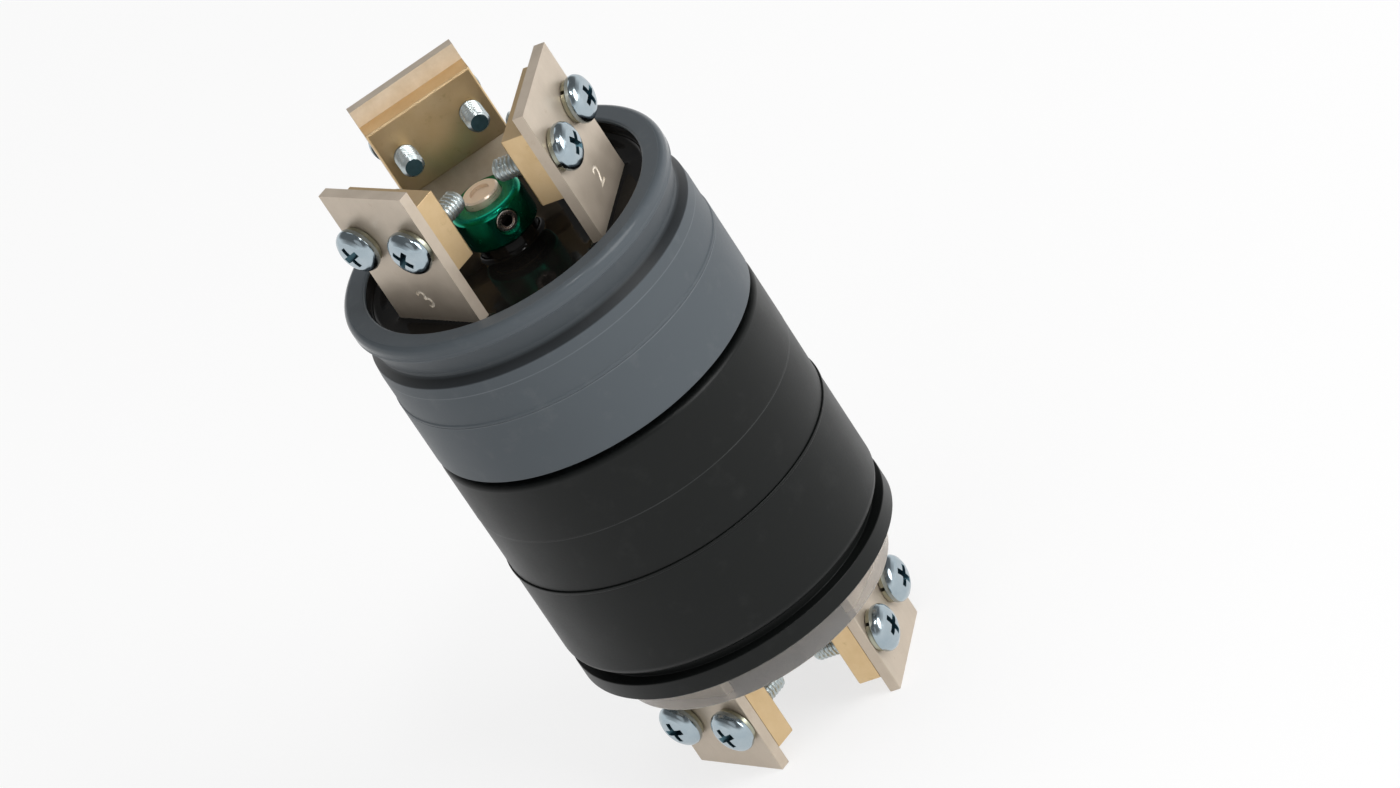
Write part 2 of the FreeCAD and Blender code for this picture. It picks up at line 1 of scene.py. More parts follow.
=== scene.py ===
"""Dresses the slip ring: materials, finer visible shapes, studio and camera.

Every CAD node gets a procedural material. The housing sections, plates, blocks, screws, washers, collar, set
screw, fill and clear disc are replaced with finer shapes inside the same box. The pin, the bush and the hidden
mechanism keep their solids. Lengths are in millimetres, which MM turns into Blender's metres, apart from the
studio's, which are in metres.
"""

import json
import math

import bmesh
import bpy
from mathutils import Matrix, Vector, noise


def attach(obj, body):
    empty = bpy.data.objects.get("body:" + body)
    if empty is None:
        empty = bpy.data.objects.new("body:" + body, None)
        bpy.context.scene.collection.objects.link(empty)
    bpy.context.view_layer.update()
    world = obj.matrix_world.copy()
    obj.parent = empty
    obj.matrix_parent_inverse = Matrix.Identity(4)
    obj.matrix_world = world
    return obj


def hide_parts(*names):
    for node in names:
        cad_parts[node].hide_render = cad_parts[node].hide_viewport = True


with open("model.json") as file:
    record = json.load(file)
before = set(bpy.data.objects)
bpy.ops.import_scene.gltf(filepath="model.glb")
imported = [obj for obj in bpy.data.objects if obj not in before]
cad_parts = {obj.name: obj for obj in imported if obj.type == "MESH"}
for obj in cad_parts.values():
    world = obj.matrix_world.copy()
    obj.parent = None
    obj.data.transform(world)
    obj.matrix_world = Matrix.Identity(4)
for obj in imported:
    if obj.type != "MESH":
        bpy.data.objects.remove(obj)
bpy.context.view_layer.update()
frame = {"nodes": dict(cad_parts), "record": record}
nodes = frame["nodes"]
slot_of = {part["node"]: part["material_slot"] for part in frame["record"]["subparts"]}

MM = 0.001

# Angle of each terminal, in degrees round +Z
TERMINALS = {1: 90.0, 2: 330.0, 3: 210.0}

# Levels above the ends of the lower plates
CLEAR_LOW, CLEAR_TOP = 19.8, 26.56
FLANGE_LOW, BEARING_FLOOR, NECK_LOW, BODY_LOW, RACE_TOP = 26.6, 28.5, 30.4, 32.3, 33.5
LOWER_SEAM, LOWER_WALL, LOWER_WALL_TOP = 53.1, 54.3, 56.3
MIDDLE_SEAM, UPPER_WALL, UPPER_WALL_TOP, SEAL_FLOOR, HOUSING_TOP = 65.0, 66.2, 68.2, 69.2, 77.7
SKIRT_LOW, SLEEVE_LOW, SLEEVE_ROOF, CAP_LOW, CAP_FLOOR = 71.3, 79.0, 88.7, 91.7, 94.0
BAND_EDGE, BAND_TOP, GROOVE_LOW, TAPER_LOW, RIM_LOW, TOP = 98.4, 100.6, 102.4, 103.0, 106.9, 110.0
FEET, MOUTH_FLOOR = 99.0, 106.3
COLLAR_LOW, SET_SCREW_LEVEL, COLLAR_TOP = 109.3, 113.3, 116.4
LOWER_SCREWS, UPPER_SCREWS = 10.9, 124.2

# Radii about the axis
BODY, GROOVE, MOUTH, FLANGE, NECK, CLEAR = 31.75, 30.05, 27.3, 31.5, 29.3, 27.0
RECESS, SPIGOT, CHAMBER, WALL_BORE = 27.85, 27.75, 23.35, 13.0
SKIRT_IN, SKIRT_OUT, HUB_FLANGE, HUB_BORE = 22.85, 26.75, 25.35, 3.6
TROUGH_IN, TROUGH_OUT, BEARING_POCKET = 22.25, 27.35, 18.4
COLLAR, SHAFT, BUSH = 6.85, 3.5, 5.2

# Terminals: distance of a plate's outer face from the axis, and sizes
PLATE_OUT, PLATE_THICK, PLATE_WIDTH = 20.7, 2.1, 21.4
SCREW_SPACING, WASHER_THICK = 13.6, 1.1
SET_SCREW_ANGLE = 279.0


class Nodes:
    """A node tree, with short calls that add nodes and join them."""

    def __init__(self, tree):
        self.tree = tree

    def feed(self, socket, value):
        if isinstance(value, bpy.types.NodeSocket):
            self.tree.links.new(value, socket)
        else:
            socket.default_value = value

    def add(self, kind, inputs=None, **settings):
        node = self.tree.nodes.new(kind)
        for key, value in settings.items():
            setattr(node, key, value)
        for key, value in (inputs or {}).items():
            self.feed(node.inputs[key], value)
        return node

    def calc(self, operation, *values):
        return self.add("ShaderNodeMath", dict(enumerate(values)), operation=operation).outputs[0]

    def spread(self, value, low, high, start=0.3, end=0.7):
        """Maps start to end onto low to high, and stops there."""
        inputs = {"Value": value, "From Min": start, "From Max": end, "To Min": low, "To Max": high}
        return self.add("ShaderNodeMapRange", inputs).outputs["Result"]

    def mix_shaders(self, share, first, second):
        return self.add("ShaderNodeMixShader", {0: share, 1: first, 2: second}).outputs[0]

    def seen_directly(self):
        """1 for what the camera, gloss and clear parts see, 0 for the light that falls on the object."""
        path = self.add("ShaderNodeLightPath")
        seen = path.outputs["Is Camera Ray"]
        for other in ("Is Glossy Ray", "Is Transmission Ray"):
            seen = self.calc("MAXIMUM", seen, path.outputs[other])
        return seen


class Shading(Nodes):
    """The node tree of one material, with the patterns that the materials share."""

    def __init__(self, name):
        self.material = bpy.data.materials.new(name)
        self.material.use_nodes = True
        super().__init__(self.material.node_tree)
        self.shader = self.tree.nodes["Principled BSDF"]
        self.output = self.tree.nodes["Material Output"]
        self.place = self.add("ShaderNodeTexCoord").outputs["Object"]

    def set(self, **values):
        for key, value in values.items():
            self.feed(self.shader.inputs[key.replace("_", " ")], value)

    def noise(self, size, detail=3.0, roughness=0.55, stretch=(1.0, 1.0, 1.0)):
        """Noise with features of about size millimetres. A stretch under 1 draws it out along that axis."""
        vector = self.add("ShaderNodeMapping", {"Vector": self.place, "Scale": stretch}).outputs["Vector"]
        inputs = {"Vector": vector, "Scale": 1 / (size * MM), "Detail": detail, "Roughness": roughness}
        return self.add("ShaderNodeTexNoise", inputs).outputs["Fac"]

    def tint(self, value, first, second, blend="MIX"):
        mix = self.add("ShaderNodeMix", data_type="RGBA", blend_type=blend)
        self.feed(mix.inputs[0], value)
        for socket, colour in ((mix.inputs[6], first), (mix.inputs[7], second)):
            self.feed(socket, colour if isinstance(colour, bpy.types.NodeSocket) else (*colour, 1.0))
        return mix.outputs[2]

    def bump(self, height, depth, strength=1.0, over=None):
        """Bump of depth millimetres, on top of another bump's normal if given."""
        inputs = {"Height": height, "Distance": depth * MM, "Strength": strength}
        if over is not None:
            inputs["Normal"] = over
        return self.add("ShaderNodeBump", inputs).outputs["Normal"]

    def near_level(self, height, level, half):
        """1 where height is within half millimetres of level, 0 elsewhere."""
        return self.calc("COMPARE", height, level * MM, half * MM)

    def greys(self, height, stops):
        """A grey that follows stops of (level, brightness), from the lowest to the highest."""
        low, high = stops[0][0], stops[-1][0]
        ramp = self.add("ShaderNodeValToRGB", {0: self.spread(height, 0.0, 1.0, low * MM, high * MM)})
        elements = ramp.color_ramp.elements
        for level, grey in stops[1:-1]:
            elements.new((level - low) / (high - low)).color = (grey, grey, grey, 1.0)
        for element, (_, grey) in ((elements[0], stops[0]), (elements[len(elements) - 1], stops[-1])):
            element.color = (grey, grey, grey, 1.0)
        return ramp.outputs["Color"]


def moulded(name, colour, worn, rough, specular, painted_shade=None, edges=(), highlight_colour=None, polish=None):
    """Moulded or turned plastic: a fine grain, a slow change of tone and a few paler rubbed places.

    The shade stops list (level, share of the colour left): painted shade, darker at those heights.
    Edges lists (level, half width) of thin pale lines: painted highlights along edges.
    Polish gives the level, half width and roughness of a polished part.
    """
    grain = 0.012
    s = Shading(name)
    slow = s.noise(14.0, 2.0)
    fine = s.noise(0.35, 2.0)
    rings = s.noise(0.22, 1.0, stretch=(0.02, 0.02, 1.0))
    rubbed = s.spread(s.noise(5.0, 5.0, 0.65), 0.0, 1.0, 0.56, 0.78)
    tone = s.tint(rubbed, colour, worn)
    height = s.add("ShaderNodeSeparateXYZ", {0: s.place}).outputs["Z"]
    # Painted shade: the colour is multiplied by greys that change with height
    if painted_shade:
        tone = s.tint(1.0, tone, s.greys(height, painted_shade), "MULTIPLY")
    # Painted highlights: thin pale lines at given levels, broken up by slow noise
    for level, half in edges:
        highlight_mask = s.calc("MULTIPLY", s.near_level(height, level, half), s.spread(slow, 0.5, 1.0))
        tone = s.tint(highlight_mask, tone, highlight_colour)
    roughness = s.calc("ADD", s.spread(slow, rough - 0.035, rough + 0.035), s.spread(fine, -0.02, 0.02))
    if polish:
        level, half, smooth = polish
        lower = s.calc("MULTIPLY", s.near_level(height, level, half), smooth - rough)
        roughness = s.calc("ADD", roughness, lower)
    s.set(Base_Color=tone, Roughness=roughness, Specular_IOR_Level=specular)
    s.set(Normal=s.bump(fine, grain, 0.6, s.bump(rings, grain, 0.35)))
    return s.material


def metal(name, colour, second, rough, grain, stretch, blotch=5.0, depth=0.006, stain=None, bare=1.0):
    """Metal with a drawn grain along one axis, a blotchy tone and fine scratches.

    Grain and blotch are sizes, and depth is how deep the grain goes. Bare is the share of bare metal, and the
    rest scatters light.
    """
    s = Shading(name)
    cloud = s.noise(blotch, 4.0, 0.6)
    drawn = s.noise(grain, 3.0, 0.6, stretch)
    tone = s.tint(s.spread(cloud, 0.0, 1.0), colour, second)
    if stain is not None:
        tone = s.tint(s.spread(s.noise(blotch * 0.45, 6.0, 0.7), 0.0, 0.8, 0.6, 0.74), tone, stain)
    s.set(Base_Color=tone, Metallic=bare)
    s.set(Roughness=s.calc("ADD", s.spread(cloud, rough - 0.05, rough + 0.06), s.spread(drawn, -0.04, 0.04)))
    s.set(Normal=s.bump(drawn, depth, 0.8, s.bump(s.noise(0.5, 3.0), depth, 0.5)))
    return s.material


def anodised(name, colour, second, rough):
    """Coloured anodised metal: a clean bright surface with hardly any grain."""
    s = Shading(name)
    s.set(Base_Color=s.tint(s.spread(s.noise(5.0, 2.0), 0.0, 1.0), colour, second), Metallic=1.0)
    s.set(Roughness=s.spread(s.noise(1.5, 4.0), rough - 0.03, rough + 0.04))
    s.set(Normal=s.bump(s.noise(0.3, 2.0, stretch=(0.03, 0.03, 1.0)), 0.002, 0.4))
    return s.material


def resin(name):
    """Glossy black cast resin."""
    s = Shading(name)
    cloud = s.spread(s.noise(6.0, 3.0), 0.0, 1.0)
    s.set(Base_Color=s.tint(cloud, (0.004, 0.004, 0.004), (0.009, 0.008, 0.007)))
    s.set(Roughness=s.spread(s.noise(2.5, 4.0), 0.05, 0.13), Specular_IOR_Level=0.12)
    s.set(Normal=s.bump(s.noise(3.0, 2.0), 0.05, 0.5))
    return s.material


def clear(name):
    """Clear plastic. Lamps shine through it, so that its shadow stays pale."""
    s = Shading(name)
    cloud = s.spread(s.noise(8.0, 2.0), 0.0, 1.0)
    s.set(Base_Color=s.tint(cloud, (0.99, 0.985, 0.98), (0.97, 0.97, 0.965)))
    s.set(Roughness=s.spread(s.noise(6.0, 2.0), 0.0, 0.02), IOR=1.49, Transmission_Weight=0.91)
    shadow_ray = s.add("ShaderNodeLightPath").outputs["Is Shadow Ray"]
    through = s.add("ShaderNodeBsdfTransparent", {"Color": (0.96, 0.96, 0.96, 1.0)}).outputs[0]
    s.feed(s.output.inputs["Surface"], s.mix_shaders(shadow_ray, s.shader.outputs[0], through))
    return s.material


ALONG_Z, AROUND_Z, NO_GRAIN = (1.0, 1.0, 0.05), (0.03, 0.03, 1.0), (1.0, 1.0, 1.0)
# Painted shade by height (level, share of colour left): groove under the band, taper and rim's top
RIM_AND_GROOVE_PAINTED_SHADE = (
    (100.5, 1.0), (100.75, 0.26), (101.9, 0.16), (102.4, 0.5), (103.2, 0.72), (106.6, 0.78), (106.95, 1.0),
    (109.5, 1.0), (109.9, 0.85), (110.0, 0.85))

# The record's material slots first, then the finishes that only this scene has
finish = {
    # Pale lines at the band's edge and under the cap's seam are painted highlights
    "grey_housing": moulded(
        "grey_housing", (0.079, 0.092, 0.103), (0.098, 0.11, 0.12), 0.42, 0.18, painted_shade=RIM_AND_GROOVE_PAINTED_SHADE,
        edges=((BAND_EDGE, 0.1), (91.57, 0.09)), highlight_colour=(0.13, 0.145, 0.158),
        polish=(108.9, 1.05, 0.18)),
    # The pale line at the middle seam is a painted highlight
    "black_housing": moulded(
        "black_housing", (0.0045, 0.0055, 0.0052), (0.0095, 0.0105, 0.01), 0.4, 0.22,
        edges=((64.9, 0.11),), highlight_colour=(0.034, 0.036, 0.036)),
    "potting": resin("potting"),
    "clear_disc": clear("clear_disc"),
    "insulator": moulded("insulator", (0.5, 0.46, 0.38), (0.58, 0.54, 0.46), 0.6, 0.4),
    "plated_terminal": metal(
        "plated_terminal", (0.53, 0.45, 0.36), (0.6, 0.515, 0.42), 0.4, 0.35, ALONG_Z,
        stain=(0.5, 0.41, 0.31), bare=0.55),
    "brass_block": metal(
        "brass_block", (0.7, 0.52, 0.3), (0.64, 0.46, 0.25), 0.36, 0.3, ALONG_Z,
        stain=(0.5, 0.35, 0.18), bare=0.85),
    # Head zinc darker than the shanks' zinc: painted shade for dark surroundings reflected in the heads
    "zinc_screw": metal("zinc_screw", (0.36, 0.44, 0.49), (0.43, 0.5, 0.54), 0.16, 0.5, NO_GRAIN, 2.5, 0.004),
    "pin_metal": metal(
        "pin_metal", (0.9, 0.76, 0.61), (0.84, 0.68, 0.53), 0.3, 0.4, AROUND_Z, 3.0, 0.002, bare=0.5),
    "green_collar": anodised("green_collar", (0.008, 0.34, 0.2), (0.007, 0.28, 0.165), 0.24),
    "socket_screw": metal("socket_screw", (0.5, 0.42, 0.38), (0.42, 0.36, 0.33), 0.25, 0.4, NO_GRAIN, 2.0),
    "contact_metal": metal("contact_metal", (0.6, 0.36, 0.2), (0.66, 0.4, 0.22), 0.3, 0.3, AROUND_Z),
    "bearing_steel": metal(
        "bearing_steel", (0.6, 0.6, 0.6), (0.55, 0.55, 0.56), 0.15, 0.3, AROUND_Z, 4.0, 0.002),
    "cage": metal("cage", (0.6, 0.45, 0.2), (0.66, 0.5, 0.24), 0.35, 0.3, AROUND_Z),
    "seal_rubber": moulded("seal_rubber", (0.02, 0.02, 0.02), (0.03, 0.03, 0.03), 0.65, 0.4),
    "shank": metal("shank_zinc", (0.56, 0.62, 0.63), (0.48, 0.54, 0.55), 0.3, 0.4, NO_GRAIN, 2.0, bare=0.85),
    "washer": metal("washer_zinc", (0.44, 0.44, 0.34), (0.36, 0.37, 0.3), 0.32, 0.5, NO_GRAIN, 2.5, 0.004),
    # Dark teal of the cross recesses and screw tips: painted shade and reflection
    "recess": metal("recess_painted_shade", (0.1, 0.19, 0.23), (0.06, 0.12, 0.15), 0.35, 0.5, NO_GRAIN, 1.5, 0.004),
    # Near black inside the hexagon socket: painted shade
    "socket": metal("socket_painted_shade", (0.04, 0.035, 0.033), (0.025, 0.022, 0.02), 0.4, 0.5, NO_GRAIN, 1.5),
    # Numerals paler than the plate: a painted highlight on the stamped strokes
    "stamp": metal("stamp_painted_highlight", (0.92, 0.84, 0.72), (0.86, 0.77, 0.64), 0.45, 0.3, NO_GRAIN, 2.0, bare=0.3),
    # Plates' inner faces: a paler, less metallic copy of the plate finish, painted light
    "film": metal("inner_face_painted_light", (0.88, 0.74, 0.57), (0.74, 0.6, 0.43), 0.36, 0.35, ALONG_Z, 3.0, bare=0.35),
}

for name, node in nodes.items():
    for material_slot in node.material_slots:
        material_slot.material = finish[slot_of[name]]


# Edges that turn by more than this stay sharp
SHARP = math.radians(32.0)


def place_at(angle, x=0.0, y=0.0, z=0.0):
    """Matrix from a terminal's own axes (X outward, Y to the right seen from outside) to the part's."""
    return Matrix.Rotation(math.radians(angle), 4, "Z") @ Matrix.Translation(Vector((x, y, z)) * MM)


def new_object(name, shape, material):
    """An object from a bmesh, smooth apart from its sharp edges."""
    bmesh.ops.recalc_face_normals(shape, faces=shape.faces)
    if shape.calc_volume(signed=True) < 0:
        bmesh.ops.reverse_faces(shape, faces=shape.faces)
    mesh = bpy.data.meshes.new(name)
    shape.to_mesh(mesh)
    shape.free()
    mesh.shade_smooth()
    mesh.set_sharp_from_angle(angle=SHARP)
    mesh.materials.append(material)
    piece = bpy.data.objects.new(name, mesh)
    bpy.context.scene.collection.objects.link(piece)
    return piece


def settle(piece, body, *replaced, weighted=False):
    """Makes a piece part of the object: it rides on its body and stands for CAD nodes."""
    if weighted:
        normals = piece.modifiers.new("normals", "WEIGHTED_NORMAL")
        normals.keep_sharp = True
        normals.weight = 80
    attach(piece, body)
    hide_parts(*replaced)


def eased(corners):
    """A closed outline (r, z, radius) as points, with each corner rounded by its radius."""
    points = []
    for index, (r, z, radius) in enumerate(corners):
        here = Vector((r, z))
        back = Vector(corners[index - 1][:2]) - here
        ahead = Vector(corners[(index + 1) % len(corners)][:2]) - here
        if radius <= 0:
            points.append(here)
            continue
        half = back.angle(ahead) / 2
        reach = min(radius / math.tan(half), 0.48 * back.length, 0.48 * ahead.length)
        true_radius = reach * math.tan(half)
        centre = here + (back.normalized() + ahead.normalized()).normalized() * (true_radius / math.sin(half))
        first = here + back.normalized() * reach - centre
        last = here + ahead.normalized() * reach - centre
        start = math.atan2(first.y, first.x)
        turn = math.atan2(first.cross(last), first.dot(last))
        steps = max(3, math.ceil(abs(turn) / 0.5 * (1 + 2 * math.sqrt(true_radius))))
        for step in range(steps + 1):
            angle = start + turn * step / steps
            points.append(centre + Vector((math.cos(angle), math.sin(angle))) * true_radius)
    return points


def skin(shape, rings, closed=False):
    """Joins each ring of vertices to the next with faces, and the last to the first if closed."""
    next_rings = rings[1:] + rings[:1] if closed else rings[1:]
    for low, high in zip(rings, next_rings):
        for step in range(len(low)):
            following = (step + 1) % len(low)
            shape.faces.new((low[step], low[following], high[following], high[step]))


def lathe(points, segments, closed=True):
    """Turns an outline of (r, z) points about Z. Points on the axis close the form."""
    shape = bmesh.new()
    rings = []
    for r, z in points:
        ring = []
        for step in range(segments):
            angle = 2 * math.pi * step / segments
            ring.append(shape.verts.new(Vector((r * math.cos(angle), r * math.sin(angle), z)) * MM))
        rings.append(ring)
    skin(shape, rings, closed)
    bmesh.ops.remove_doubles(shape, verts=shape.verts, dist=1e-8)
    return shape


def carve(piece, cutter):
    """Cuts cutter out of piece for good, keeping the cutter's material on the cut faces."""
    cut = piece.modifiers.new("cut", "BOOLEAN")
    cut.operation = "DIFFERENCE"
    cut.solver = "EXACT"
    cut.material_mode = "TRANSFER"
    cut.use_self = True
    cut.object = cutter
    graph = bpy.context.evaluated_depsgraph_get()
    mesh = bpy.data.meshes.new_from_object(piece.evaluated_get(graph))
    piece.modifiers.remove(cut)
    piece.data = mesh
    mesh.set_sharp_from_angle(angle=SHARP)
    bpy.data.objects.remove(cutter)


BODY_SEGMENTS = 256

# Usual edge radii of the turned pieces
FINE, SMALL = 0.14, 0.3


def turned_piece(name, corners, body, replaced):
    piece = new_object(name, lathe(eased(corners), BODY_SEGMENTS), finish[slot_of[replaced]])
    settle(piece, body, replaced, weighted=True)


turned_piece("cap_section", [
    (HUB_BORE, CAP_FLOOR, 0), (HUB_FLANGE, CAP_FLOOR, 0), (HUB_FLANGE, CAP_LOW, 0), (BODY, CAP_LOW, FINE),
    (BODY, 92.2, FINE), (31.55, 92.4, FINE), (31.55, BAND_EDGE, 0.15), (31.38, BAND_TOP, 0.3),
    (GROOVE, GROOVE_LOW, 0.3), (GROOVE, TAPER_LOW, 0.3), (31.45, RIM_LOW, 0.15), (BODY, 107.15, 0.3),
    (BODY, TOP, 1.9), (MOUTH, TOP, 0.55), (MOUTH, FEET, 0), (HUB_BORE, FEET, 0)], "rotor", "upper_cap")
turned_piece("sleeve_section", [
    (SKIRT_IN, SKIRT_LOW, SMALL), (SKIRT_OUT, SKIRT_LOW, SMALL), (SKIRT_OUT, SLEEVE_LOW, SMALL),
    (BODY, SLEEVE_LOW, 0.35), (BODY, CAP_LOW, FINE), (HUB_FLANGE, CAP_LOW, 0), (HUB_FLANGE, SLEEVE_ROOF, 0),
    (SKIRT_IN, SLEEVE_ROOF, 0)], "rotor", "upper_sleeve")
turned_piece("upper_section", [
    (WALL_BORE, UPPER_WALL, 0), (RECESS, UPPER_WALL, 0), (RECESS, MIDDLE_SEAM, 0), (31.72, MIDDLE_SEAM, 0.04),
    (BODY, 65.4, 0), (BODY, HOUSING_TOP, 1.0), (TROUGH_OUT, HOUSING_TOP, SMALL),
    (TROUGH_OUT, SEAL_FLOOR, SMALL), (TROUGH_IN, SEAL_FLOOR, SMALL), (TROUGH_IN, HOUSING_TOP, SMALL),
    (BEARING_POCKET, HOUSING_TOP, FINE), (BEARING_POCKET, UPPER_WALL_TOP, 0),
    (WALL_BORE, UPPER_WALL_TOP, FINE)], "housing", "upper_housing")
turned_piece("middle_section", [
    (WALL_BORE, LOWER_WALL, FINE), (RECESS, LOWER_WALL, 0), (RECESS, LOWER_SEAM, 0),
    (31.65, LOWER_SEAM, FINE), (31.7, MIDDLE_SEAM, 0.06), (SPIGOT, MIDDLE_SEAM, 0), (SPIGOT, UPPER_WALL, 0),
    (CHAMBER, UPPER_WALL, 0), (CHAMBER, LOWER_WALL_TOP, SMALL), (WALL_BORE, LOWER_WALL_TOP, FINE)],
    "housing", "middle_housing")
turned_piece("lower_section", [
    (CHAMBER, BODY_LOW, 0), (BODY, BODY_LOW, 2.0), (BODY, 52.4, FINE), (31.95, 52.6, FINE),
    (31.95, LOWER_SEAM, FINE), (SPIGOT, LOWER_SEAM, 0), (SPIGOT, LOWER_WALL, 0), (CHAMBER, LOWER_WALL, 0)],
    "housing", "lower_housing")
turned_piece("flange_section", [
    (0.0, FLANGE_LOW, 0), (31.2, FLANGE_LOW, FINE), (FLANGE, 26.9, FINE), (FLANGE, NECK_LOW, 0.2),
    (NECK, NECK_LOW, FINE), (NECK, BODY_LOW, 0), (23.25, BODY_LOW, 0), (23.25, RACE_TOP, 0),
    (8.7, RACE_TOP, FINE), (8.7, BEARING_FLOOR, 0), (0.0, BEARING_FLOOR, 0)], "housing", "end_flange")
turned_piece("clear_disc_body", [
    (0.0, CLEAR_LOW, 0), (CLEAR, CLEAR_LOW, SMALL), (CLEAR, CLEAR_TOP, FINE), (0.0, CLEAR_TOP, 0)],
    "housing", "clear_disc")


PLATE_EASE, BLOCK_EASE = 0.2, 0.05
NUMERAL_HIGH, NUMERAL_DEEP, NUMERAL_SPREAD = 5.6, 0.14, 0.05


def eased_copy(name, node, width):
    """A copy of a CAD node's mesh with its long edges rounded by width."""
    shape = bmesh.new()
    shape.from_mesh(nodes[node].data)
    bmesh.ops.remove_doubles(shape, verts=shape.verts, dist=2e-6)
    bmesh.ops.dissolve_limit(shape, angle_limit=math.radians(0.3), verts=shape.verts, edges=shape.edges)
    edges = [edge for edge in shape.edges if len(edge.link_faces) == 2
             and edge.calc_face_angle() > math.radians(30) and edge.calc_length() > 1.5 * MM]
    bmesh.ops.bevel(shape, geom=edges, offset=width * MM, offset_type="OFFSET", segments=3, profile=0.5,
                    affect="EDGES", clamp_overlap=True)
    for face in shape.faces:
        face.material_index = 0
    return new_object(name, shape, finish[slot_of[node]])


def flatten(piece):
    """Shades a piece's large faces flat, those over 0.8 square millimetres."""
    large = 0.8 * MM * MM
    for face in piece.data.polygons:
        if face.area > large:
            face.use_smooth = False


def stamp(angle, text, across, level, lean):
    """Cutter for a numeral in the outer face of the plate at that angle, leaning lean degrees to the left."""
    curve = bpy.data.curves.new("numeral", "FONT")
    curve.body = text
    curve.size = NUMERAL_HIGH * MM
    curve.align_x = "CENTER"
    curve.align_y = "CENTER"
    curve.offset = NUMERAL_SPREAD * MM
    curve.extrude = NUMERAL_DEEP * MM
    letter = bpy.data.objects.new("numeral", curve)
    bpy.context.scene.collection.objects.link(letter)
    upright = Matrix(((0, 0, 1, 0), (1, 0, 0, 0), (0, 1, 0, 0), (0, 0, 0, 1)))
    roll = Matrix.Rotation(math.radians(lean), 4, "X")
    letter.matrix_world = place_at(angle, PLATE_OUT, across, level) @ roll @ upright
    bpy.context.view_layer.update()
    graph = bpy.context.evaluated_depsgraph_get()
    mesh = bpy.data.meshes.new_from_object(letter.evaluated_get(graph))
    mesh.transform(letter.matrix_world)
    # The cut strokes take a pale finish: painted highlight
    mesh.materials.clear()
    mesh.materials.append(finish["stamp"])
    bpy.data.objects.remove(letter)
    cutter = bpy.data.objects.new("numeral_cutter", mesh)
    bpy.context.scene.collection.objects.link(cutter)
    return cutter


def film(plate, angle):
    """Gives the plate's inner face, the one towards the axis, a paler finish: painted light on that side."""
    plate.data.materials.append(finish["film"])
    inward = -place_at(angle, 1.0).translation.normalized()
    for face in plate.data.polygons:
        if face.normal.dot(inward) > 0.99:
            face.material_index = len(plate.data.materials) - 1


# For each terminal: distance across the plate, level, and lean in degrees
NUMERALS = {1: (0.2, 112.0, 6.0), 2: (0.6, 112.3, 0.0), 3: (0.0, 111.6, 34.0)}
for number, angle in TERMINALS.items():
    for end, body in (("upper", "rotor"), ("lower", "housing")):
        plate = eased_copy(f"{end}_terminal_plate_{number}", f"{end}_plate_{number}", PLATE_EASE)
        if end == "upper":
            carve(plate, stamp(angle, str(number), *NUMERALS[number]))
            # Painted light: a paler finish on the inner face
            film(plate, angle)
        flatten(plate)
        settle(plate, body, f"{end}_plate_{number}")
        block = eased_copy(f"{end}_tapped_block_{number}", f"{end}_block_{number}", BLOCK_EASE)
        flatten(block)
        settle(block, body, f"{end}_block_{number}")


HEAD, HEAD_HIGH = 4.4, 2.7
THREAD, ROOT, PITCH, ROWS_PER_PITCH = 2.1, 1.78, 0.8, 10
SCREW_LONG, PLAIN_SHANK, TIP_CHAMFER = 13.2, 6.6, 0.55
SCREW_SEGMENTS = 64

# Cross recess: (how far past the head's top, half length, half width) of each blade's outer and inner end
BLADE_ENDS = ((0.4, 2.55, 0.62), (-2.0, 0.85, 0.34))

# Screw heads' turns in degrees, left and right, as each was left after tightening
SCREW_TURNS = {("upper", 1): (20, 65), ("upper", 2): (35, 10), ("upper", 3): (25, 50),
               ("lower", 1): (15, 70), ("lower", 2): (12, 25), ("lower", 3): (8, 20)}

WASHER_IN, WASHER_OUT, WASHER_EASE, WASHER_LIFT = 2.25, 3.9, 0.16, 0.12
WASHER_STEPS, WASHER_SLIT = 72, 10.0


def screw_radius(x, angle):
    """Radius of the shank at x under the head: first plain, then a thread, with a chamfer at the tip."""
    if x > -PLAIN_SHANK:
        return THREAD
    wave = abs(2 * ((x / PITCH - angle / (2 * math.pi)) % 1.0) - 1)
    thread = ROOT + (THREAD - ROOT) * min(1.0, max(0.0, 1.6 * wave - 0.3))
    return min(thread, THREAD - TIP_CHAMFER + (x + SCREW_LONG))


def make_blade():
    """Cutter for one arm of the cross recess, tapering into the head."""
    blade = bmesh.new()
    corners = []
    for past, length, width in BLADE_ENDS:
        for y, z in ((-1, -1), (1, -1), (1, 1), (-1, 1)):
            corners.append(blade.verts.new(Vector((HEAD_HIGH + past, y * length, z * width)) * MM))
    for face in ((0, 1, 2, 3), (7, 6, 5, 4), (0, 4, 5, 1), (1, 5, 6, 2), (2, 6, 7, 3), (3, 7, 4, 0)):
        blade.faces.new([corners[index] for index in face])
    return blade


